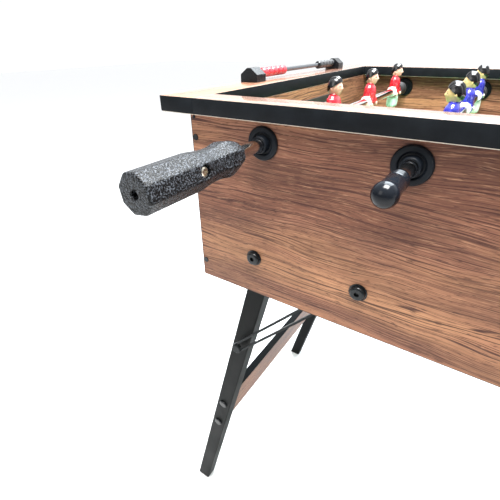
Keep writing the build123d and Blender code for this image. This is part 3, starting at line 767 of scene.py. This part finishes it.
def man_hub(bm):
    """The boss that the rod passes through, with a white ring at each end."""
    place = Matrix.Rotation(math.radians(-90), 4, "X")
    core = rounded([(-11.6, BORE), (-11.6, 8.8), (11.6, 8.8), (11.6, BORE)], [0, 0.8, 0.8, 0])
    lathe(bm, core, place, 40, SHIRT)
    for side in (-1, 1):
        near, far = sorted((side * 11.0, side * 13.0))
        ring = rounded([(near, BORE), (near, 8.0), (far, 8.0), (far, BORE)], [0, 0.7, 0.7, 0.2])
        lathe(bm, ring, place, 40, COLLAR)


def man_mesh(team, skin_key, shirt_key, shorts_key):
    """Three men of one team at their places on a rod, facing +X."""
    bm = bmesh.new()
    man_head(bm)
    man_hair(bm)
    man_body(bm)
    man_arms(bm)
    man_hub(bm)
    bmesh.ops.recalc_face_normals(bm, faces=bm.faces)
    geometry = bm.verts[:] + bm.edges[:] + bm.faces[:]
    for step in (-MEN_PITCH, MEN_PITCH):
        copy = bmesh.ops.duplicate(bm, geom=geometry)["geom"]
        bmesh.ops.translate(bm, verts=[g for g in copy if isinstance(g, bmesh.types.BMVert)],
                            vec=(0, step, 0))
    keys = (skin_key, shirt_key, shorts_key, "hair", "boot", "white")
    return new_piece("%s_men" % team, bm, [MATERIALS[key] for key in keys], 60.0)


# ---- grips, caps, bumpers and screws ------------------------------------------------------------
def along_rod(node, body):
    """The node's two ends along a rod that isn't turned, in millimetres from the rod's middle."""
    return [(corner.y - RODS[body].y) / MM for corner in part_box(node)]


HANDLE_OUT, HANDLE_IN = along_rod("rod_1_handle", "rod_1")
CAP_IN, CAP_TIP = along_rod("rod_1_end_cap", "rod_1")
HANDLE_FLAT = 13.58                     # grip's axis to a flat, mm
HANDLE_PHASE = math.radians(77.0)       # turn of the flats about the rod
HANDLE_BORE = 60.0                      # depth of the bore for the shaft, mm
# the grip's waist: (mm from its inner end, share of the full width)
WAIST = ((70, 1.0), (55, 1.0), (44, 0.915), (36, 0.872), (29, 0.89), (21, 0.975), (15, 0.965), (8, 0.83),
         (3, 0.72), (0, 0.60))
SCREW_BACK = 53.0                       # grip screw from the grip's inner end, mm
SCREW_ANGLE = math.radians(9.5)         # from +X up to +Z
SCREW_SEAT = 9.6                        # rod's axis to the screw head's seat, mm
MAN_BACK = 9.0                          # rod's axis to a man's back, mm
ALONG_Y = Matrix.Rotation(math.radians(-90), 4, "X")    # local Z to +Y, local Y to -Z


def octagon_radius(angle, radius):
    """A rounded octagon outside, going over to a circle in the bores and on the end faces."""
    round_to, fade = 0.46, 0.10             # a circle up to this share of the flat, then a change over
    outer = radius / HANDLE_FLAT
    if outer < round_to:
        return radius
    # the lathe's angle runs from +X towards -Z once it is laid along Y
    step = math.pi / 4
    off = (-angle - HANDLE_PHASE) % step - step / 2
    # straight flats, softly cut off by an arc at the corners
    straight, limit, soft = radius / math.cos(off), radius * 1.068, radius * 0.016
    h = max(0.0, min(1.0, 0.5 + 0.5 * (limit - straight) / soft))
    blended = limit * (1 - h) + straight * h - soft * h * (1 - h)
    share = min(1.0, (outer - round_to) / fade)
    return radius * (1 - share) + blended * share


def handle_profile():
    """Closed outline of the grip's half section, as (along, flat radius)."""
    inner, outer = HANDLE_IN, HANDLE_OUT
    longest = 1.6               # mm between points along the waist
    waist = [(outer + 2.0, 1.0)] + [(inner - back, share) for back, share in WAIST]
    points = [(outer + along, HANDLE_FLAT * share)
              for along, share in ((0, 0.90), (0.35, 0.955), (1.0, 0.988))]
    for k in range(len(waist) - 1):
        before, a, b, after = (waist[max(0, min(len(waist) - 1, k + j))] for j in (-1, 0, 1, 2))
        steps = max(2, round((b[0] - a[0]) / longest))
        for step in range(steps):
            t = step / steps
            rise = spline(before[1], a[1], b[1], after[1], t)
            points.append((a[0] + (b[0] - a[0]) * t, HANDLE_FLAT * min(1.0, rise)))
    points += [(inner, HANDLE_FLAT * 0.60), (inner, BORE + 0.6), (inner - 0.6, BORE),
               (inner - HANDLE_BORE, BORE), (inner - HANDLE_BORE, 3.2),
               (outer + 20, 3.2), (outer + 20, 3.0), (outer + 0.7, 3.0), (outer, 3.7),
               (outer, HANDLE_FLAT * 0.5), (outer, HANDLE_FLAT * 0.8)]
    return points


def screw_frame():
    """The grip screw's place on the rod's axis; its local Z points out through the grip's flat."""
    out = Vector((math.cos(SCREW_ANGLE), 0, math.sin(SCREW_ANGLE)))
    side = Vector((0, 1, 0))
    across = side.cross(out)
    turn = Matrix((side, across, out)).transposed().to_4x4()
    return Matrix.Translation((0, (HANDLE_IN - SCREW_BACK) * MM, 0)) @ turn


def handle_mesh():
    """The eight-sided grip with the flared pocket for its screw."""
    bm = bmesh.new()
    lathe(bm, handle_profile(), ALONG_Y, 128, radius_at=octagon_radius)
    piece = new_piece("grip", bm, [MATERIALS["handle"]], 50.0)
    pocket = bmesh.new()
    flared = [(SCREW_SEAT, 5.1), (13.2, 5.15), (14.0, 5.6), (19.0, 5.8)]
    lathe(pocket, flared, screw_frame(), 40, closed=False)
    cutter = new_piece("pocket", pocket, [MATERIALS["handle"]])
    return cut(piece, [cutter])


def screw_head(radius, height, depth):
    """A pan-head screw with a cross recess, its seat at the origin, pointing along +Z."""
    bm = bmesh.new()
    profile = [(-0.6, radius * 0.5), (0, radius * 0.5), (0, radius), (height * 0.45, radius),
               (height * 0.80, radius * 0.86), (height * 0.96, radius * 0.55), (height, radius * 0.25)]
    lathe(bm, profile, Matrix.Identity(4), 40, closed=False)
    head = new_piece("screw_head", bm, [MATERIALS["screw"]], 50.0)
    slots = []
    for turn in (20, 110):
        slot = bmesh.new()
        arm, wide = radius * 0.62 * MM, radius * 0.11 * MM
        place = Matrix.Rotation(math.radians(turn), 4, "Z")
        box(slot, (-arm, -wide, (height - depth) * MM), (arm, wide, (height + 1) * MM), place=place)
        slots.append(new_piece("cross", slot, [MATERIALS["screw"]]))
    return cut(head, slots)


def join_meshes(name, parts, materials):
    """One mesh from (mesh, matrix) pairs."""
    bm = bmesh.new()
    for mesh, place in parts:
        copy = mesh.copy()
        copy.transform(place)
        bm.from_mesh(copy)
        bpy.data.meshes.remove(copy)
    return new_piece(name, bm, materials, 40.0)


def screws_mesh():
    """The grip screw and the three screws in the men's backs."""
    grip, small = screw_head(4.1, 2.4, 1.5), screw_head(2.8, 1.5, 1.0)
    parts = [(grip.data, screw_frame() @ Matrix.Translation((0, 0, SCREW_SEAT * MM)))]
    back = Matrix.Rotation(math.radians(-90), 4, "Y")
    for step in (-MEN_PITCH, 0, MEN_PITCH):
        parts.append((small.data, Matrix.Translation((-MAN_BACK * MM, step, 0)) @ back))
    joined = join_meshes("screws", parts, [MATERIALS["screw"]])
    for head in (grip, small):
        bpy.data.objects.remove(head)
    return joined


def cap_mesh():
    """Bullet-shaped rubber cap with a ribbed stem and a ball end."""
    ball = 8.4                  # mm
    centre, socket = CAP_TIP - ball, CAP_IN + 25.5
    outline = [(socket, BORE), (CAP_IN, BORE), (CAP_IN, 6.1), (CAP_IN + 0.8, 6.75), (CAP_IN + 2.0, 6.85)]
    for k in range(3):
        at = CAP_IN + 3.0 + 2.6 * k
        outline += [(at, 6.85), (at + 0.5, 7.2), (at + 1.2, 7.2), (at + 1.7, 6.9)]
    start = math.radians(-24.0)
    outline += [(CAP_IN + 13.0, 7.05), (CAP_IN + 20.0, 7.35), (centre + ball * math.sin(start) - 2.5, 7.62)]
    steps = 22
    for k in range(steps + 1):
        t = start + (math.radians(88.0) - start) * k / steps
        outline.append((centre + ball * math.sin(t), ball * math.cos(t)))
    outline += [(centre + ball - 0.02, 0.05), (socket, 0.05)]
    bm = bmesh.new()
    lathe(bm, outline, ALONG_Y, 64)
    return new_piece("cap", bm, [MATERIALS["cap"]], 50.0)


def bumper_mesh():
    """The two rubber bumpers outside the outer men, soft-edged and grooved."""
    bm = bmesh.new()
    for low, high in solid_boxes("rod_1_bumpers"):
        a, b = (low.y - RODS["rod_1"].y) / MM, (high.y - RODS["rod_1"].y) / MM
        third = (b - a) / 3
        hole, rim, groove, slope = 5.65, 11.0, 10.2, 0.8
        profile = rounded([(a, hole), (a, rim), (a + third, rim), (a + third + slope, groove),
                           (b - third - slope, groove), (b - third, rim), (b, rim), (b, hole)],
                          [0.3, 1.8, 0.6, 0.6, 0.6, 0.6, 1.8, 0.3])
        lathe(bm, profile, ALONG_Y, 48)
    return new_piece("bumpers", bm, [MATERIALS["bumper"]])


def playing_rods():
    """Every rod's grip, cap, men, screws and bumpers, in their places."""
    masters = {"handle": handle_mesh(), "end_cap": cap_mesh(), "screws": screws_mesh(),
               "bumpers": bumper_mesh(),
               "red": man_mesh("red", "pink_skin", "red", "mint"),
               "blue": man_mesh("blue", "tan_skin", "blue", "white")}
    names = {"handle": "grip", "end_cap": "cap", "screws": "screw_heads", "bumpers": "bumper_rings"}
    for body, centre in sorted(RODS.items()):
        turned = body not in RED_TEAM
        place = Matrix.Translation(centre) @ Matrix.Rotation(math.pi if turned else 0.0, 4, "Z")
        for part, name in names.items():
            piece = twin(masters[part], "%s_%s" % (body, name), place)
            stands_for(piece, "%s_%s" % (body, part), body + "_slider" if part == "bumpers" else body)
        men = twin(masters["blue" if turned else "red"], "%s_players" % body, place)
        stands_for(men, body + "_men", body)
        finish_node(body + "_shaft", "chrome")
    for master in masters.values():
        bpy.data.objects.remove(master)


# ---- legs ---------------------------------------------------------------------------------------
def stretchers():
    """The leg boards: laminated faces, black edge bands on their long edges."""
    for side in ("left", "right"):
        bm = cad_copy(side + "_stretcher")
        for face in bm.faces:
            face.material_index = 1 if abs(face.normal.z) > 0.8 else 0
        piece = new_piece(side + "_leg_board", bm, [MATERIALS["walnut_stretcher"], MATERIALS["band"]])
        stands_for(piece, side + "_stretcher", side + "_leg_frame")


def carried_over():
    """Finishes for the CAD nodes that show as they are."""
    finishes = {"front_panel": "walnut", "rear_panel": "walnut", "end_panels": "walnut_ends",
                "playfield": "field", "playfield_cleats": "board", "goal_boxes": "goal",
                "scorer_rods": "scorer_rod", "cabinet_fasteners": "hardware"}
    for side in ("left", "right"):
        finishes[side + "_leg_tubes"] = "leg"
        finishes[side + "_leg_fittings"] = "hardware"
        finishes[side + "_stays"] = "stay"
    for node, key in finishes.items():
        finish_node(node, key)


# ---- floor, light and camera --------------------------------------------------------------------
def floor():
    """A wide pale floor, just under the soles."""
    gap = 0.3 * MM              # keeps the floor clear of the soles
    bm = bmesh.new()
    bmesh.ops.create_grid(bm, x_segments=1, y_segments=1, size=14.0)
    bmesh.ops.translate(bm, verts=bm.verts, vec=(0, 0, -gap))
    s = Shader("pale_floor", Roughness=0.9)
    speckle = s.noise(s.where, 6.0, 3.0, 0.5)
    s.colour(s.mix(speckle, (0.93, 0.93, 0.93), (0.95, 0.95, 0.95)))
    piece = new_piece("floor", bm, [s.material])


def area_light(name, at, towards, side, energy, colour):
    """A soft square light that the camera doesn't see."""
    data = bpy.data.lights.new(name, "AREA")
    data.shape = "SQUARE"
    data.size = side
    data.energy = energy
    data.color = colour
    lamp = bpy.data.objects.new(name, data)
    lamp.location = at
    lamp.rotation_euler = (Vector(towards) - Vector(at)).to_track_quat("-Z", "Y").to_euler()
    lamp.visible_camera = False
    bpy.context.scene.collection.objects.link(lamp)


def lights():
    """The room's light and three area lights."""
    world = bpy.data.worlds.new("studio")
    bpy.context.scene.world = world
    world.use_nodes = True
    tree = world.node_tree

    def add(kind, inputs, output=0, **settings):
        return add_node(tree, kind, inputs, output, settings)

    # the room is bright above and beyond the far side and dim on the near side; the camera sees it white
    where = add("TexCoord", {}, "Generated")
    split = add("SeparateXYZ", {0: where}).node
    above = add("MapRange", {"Value": split.outputs[2], "From Min": -0.1, "From Max": 0.9,
                             "To Min": 0.26, "To Max": 1.0}, interpolation_type="SMOOTHSTEP")
    beyond = add("MapRange", {"Value": split.outputs[1], "From Min": 0.1, "From Max": 0.8,
                              "To Min": 0.0, "To Max": 0.95}, interpolation_type="SMOOTHSTEP")
    light = add("Math", {0: above, 1: beyond}, operation="ADD")
    seen = add("LightPath", {}, "Is Camera Ray")
    strength = add("Mix", {0: seen, 2: light, 3: 1.06}, data_type="FLOAT")
    background = tree.nodes["Background"]
    background.inputs["Color"].default_value = (0.97, 0.985, 1.0, 1.0)
    tree.links.new(strength, background.inputs["Strength"])
    area_light("overhead", (-0.15, 1.2, 2.7), (-0.2, -0.1, 0.7), 1.7, 150.0, (0.86, 0.94, 1.0))
    area_light("above", (-0.15, -0.30, 1.75), (-0.12, 0.2, 0.7), 0.6, 60.0, (1.0, 0.985, 0.96))
    area_light("front_window", (-1.3, -2.3, 1.9), (-0.1, -0.25, 0.6), 1.2, 10.0, (1.0, 0.97, 0.92))


def camera():
    """A camera outside the near side, a little above the rails, looking down to the left end."""
    data = bpy.data.cameras.new("camera")
    data.lens, data.sensor_width = LENS, SENSOR
    yaw, pitch, roll = (math.radians(v) for v in (CAMERA_YAW, CAMERA_PITCH, CAMERA_ROLL))
    ahead = Vector((-math.sin(yaw) * math.cos(pitch), math.cos(yaw) * math.cos(pitch), math.sin(pitch)))
    right = Vector((math.cos(yaw), math.sin(yaw), 0))
    up = right.cross(ahead)
    level = math.cos(roll) * right + math.sin(roll) * up
    top = -math.sin(roll) * right + math.cos(roll) * up
    turn = Matrix((level, top, -ahead)).transposed().to_4x4()
    obj = bpy.data.objects.new("camera", data)
    obj.matrix_world = Matrix.Translation(CAMERA_AT) @ turn
    bpy.context.scene.collection.objects.link(obj)
    bpy.context.scene.camera = obj
    data.clip_start = 0.02
    bpy.context.scene.view_settings.view_transform = "Standard"


camera()
lights()
floor()
carried_over()
rails()
bushings()
scorer_blocks()
beads()
stretchers()
playing_rods()
